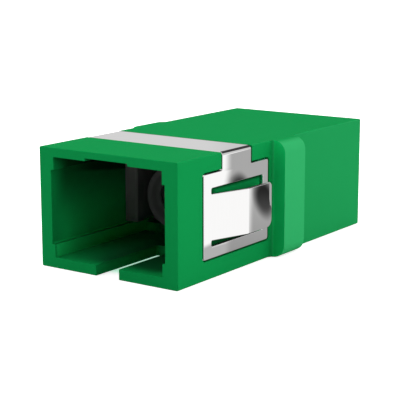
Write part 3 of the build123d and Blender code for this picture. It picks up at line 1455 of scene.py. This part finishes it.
@dataclass(frozen=True)
class SoftLight:
    """Soft light on plain surfaces, from all round but one side, and stronger from the rear and low down.

    The dark side's angle is in degrees, from -Y towards +X.
    """

    level: float = 1.92
    dark_side: float = 32.4
    dark_cone: Span = (0.58, 0.83)
    dark_level: float = 0.0
    top_gain: float = -0.5
    right_gain: float = -0.1
    rear_gain: float = 0.384

    def shade(self, wiring: Wiring, x: Socket, y: Socket, z: Socket) -> Socket:
        """Brightness in a direction.

        Args:
            wiring: the world's wiring.
            x: the direction's X.
            y: its Y.
            z: its Z.

        Returns:
            The brightness.
        """
        turn = math.radians(self.dark_side)
        ahead = wiring.sum("MULTIPLY_ADD", x, math.sin(turn), wiring.times(y, -math.cos(turn)))
        level = wiring.ease(ahead, *self.dark_cone, self.level, self.dark_level)
        height_gain = wiring.sum("MULTIPLY_ADD", z, self.top_gain, 1.0)
        side_gain = wiring.sum("MULTIPLY_ADD", y, self.rear_gain, 1.0)
        side_gain = wiring.sum("MULTIPLY_ADD", x, self.right_gain, side_gain)
        return wiring.times(level, height_gain, side_gain)


@dataclass
class Studio:
    """Floor, soft light and camera.

    The floor's size is in metres, other lengths are in millimetres and angles in degrees.
    """

    floor_size: float = 2.0
    floor_drop: float = 0.01
    floor_pale: float = 0.86
    floor_dim: float = 0.8
    floor_dark: float = 0.55
    dark_ahead: Span = (11.0, 17.0)
    dark_beside: Span = (7.0, 16.0)
    floor_glow: float = 0.72
    # Painted shade and green bounce light on the floor under the housing.
    below: Colour = (0.5, 0.9, 0.68, 1.0)
    painted_bounce_x: Span = (5.6, 6.4)
    painted_bounce_y: Span = (11.3, 12.2)
    camera_azimuth: float = 35.298
    camera_height: float = 11.704
    camera_roll: float = -0.076
    camera_distance: float = 102.066
    camera_target: tuple[float, float, float] = (-1.100, 0.0, 3.447)
    focal_pixels: float = 1249.0
    frame_pixels: int = 400
    sensor: float = 36.0
    mirror: ReflectedStudio = field(default_factory=ReflectedStudio)
    light: SoftLight = field(default_factory=SoftLight)
    gloss_low: float = 0.01
    gloss_high: float = 0.3
    gloss_rise: Span = (35.0, 80.0)

    def build(self) -> None:
        """Set up the whole studio."""
        self.build_floor()
        self.build_world()
        self.build_camera()
        bpy.context.scene.view_settings.view_transform = "Standard"
        log.info("studio: floor, soft light and camera")

    def build_floor(self) -> None:
        """Pale floor that keeps the object's shadow, and that the steel doesn't mirror."""
        half, z = self.floor_size / 2, -self.floor_drop * MM
        corners = [(-half, -half, z), (half, -half, z), (half, half, z), (-half, half, z)]
        mesh = bpy.data.meshes.new("floor")
        mesh.from_pydata(corners, [], [(0, 1, 2, 3)])
        mesh.materials.append(self.floor_material())
        floor = place_object("floor", mesh)
        floor.visible_glossy = False

    def floor_material(self) -> bpy.types.Material:
        """Matt white that glows to the camera only, with painted shade and green bounce light under the
        housing, and throws little light into the front mouth.

        Returns:
            The material.
        """
        material = bpy.data.materials.new("pale_floor")
        material.use_nodes = True
        wiring = Wiring(material.node_tree)
        seen = wiring.node("ShaderNodeLightPath").outputs["Is Camera Ray"]
        x, y, _ = wiring.split(millimetre_place(wiring))
        aside = wiring.positive(x)
        ahead = wiring.ease(wiring.times(y, -1.0), *self.dark_ahead)
        ahead = wiring.times(ahead, wiring.fade(aside, *self.dark_beside))
        matt = wiring.node("ShaderNodeBsdfDiffuse")
        thrown = wiring.blend(ahead, self.floor_dim, self.floor_dark)
        wiring.feed(matt.inputs["Color"], wiring.blend(seen, thrown, self.floor_pale))
        # Painted shade and green bounce light under the housing, seen through the slots.
        below = wiring.fade(aside, *self.painted_bounce_x)
        below = wiring.times(below, wiring.fade(wiring.positive(y), *self.painted_bounce_y))
        glow = wiring.node("ShaderNodeEmission")
        wiring.feed(glow.inputs["Strength"], wiring.times(seen, self.floor_glow))
        wiring.feed(glow.inputs["Color"], wiring.tint(below, WHITE, self.below))
        both = wiring.node("ShaderNodeAddShader")
        wiring.feed(both.inputs[0], matt.outputs[0])
        wiring.feed(both.inputs[1], glow.outputs[0])
        wiring.feed(wiring.node("ShaderNodeOutputMaterial").inputs["Surface"], both.outputs[0])
        return material

    def build_world(self) -> None:
        """White behind the object, soft light on it, and the screens that its steel reflects."""
        world = bpy.data.worlds.new("studio")
        bpy.context.scene.world = world
        world.use_nodes = True
        world.cycles.sampling_method = "NONE"
        wiring = Wiring(world.node_tree)
        path = wiring.node("ShaderNodeLightPath").outputs
        x, y, z = wiring.split(wiring.node("ShaderNodeTexCoord").outputs["Generated"])
        azimuth = wiring.sum("DEGREES", wiring.sum("ARCTAN2", x, y))
        height = wiring.sum("DEGREES", wiring.sum("ARCSINE", z))
        soft = self.light.shade(wiring, x, y, z)
        gloss = wiring.ease(height, *self.gloss_rise, self.gloss_low, self.gloss_high)
        mirror = self.mirror.shade(wiring, azimuth, height)
        glossy = wiring.blend(path["Is Singular Ray"], gloss, mirror)
        level = wiring.blend(path["Is Glossy Ray"], soft, glossy)
        level = wiring.blend(path["Is Camera Ray"], level, 1.0)
        sky = wiring.node("ShaderNodeBackground")
        wiring.feed(sky.inputs["Color"], level)
        wiring.feed(wiring.node("ShaderNodeOutputWorld").inputs["Surface"], sky.outputs[0])

    def build_camera(self) -> None:
        """Camera at the photograph's angle."""
        turn, rise = math.radians(self.camera_azimuth), math.radians(self.camera_height)
        back = Vector((math.sin(turn) * math.cos(rise), -math.cos(turn) * math.cos(rise), math.sin(rise)))
        data = bpy.data.cameras.new("camera")
        data.sensor_width = self.sensor
        data.lens = self.focal_pixels * self.sensor / self.frame_pixels
        data.clip_start, data.clip_end = MM, self.floor_size * 2
        camera = place_object("camera", data)
        roll = Matrix.Rotation(math.radians(self.camera_roll), 4, "Z")
        stand = Matrix.Translation((Vector(self.camera_target) + back * self.camera_distance) * MM)
        camera.matrix_world = stand @ back.to_track_quat("Z", "Y").to_matrix().to_4x4() @ roll
        bpy.context.scene.camera = camera


def write_sizes() -> None:
    bpy.context.view_layer.update()


def main() -> None:
    """Build the coupler and its studio in order."""
    logging.basicConfig(level=logging.INFO)
    Studio().build()
    grey = MattGrey().make()
    Housing().build(MouldedGreen().make())
    for side in Side:
        Insert(side).build(grey)
    SplitSleeve().build(GroundCeramic().make())
    PanelClip().build(RolledSteel().make())
    write_sizes()


if __name__ == "__main__":
    main()
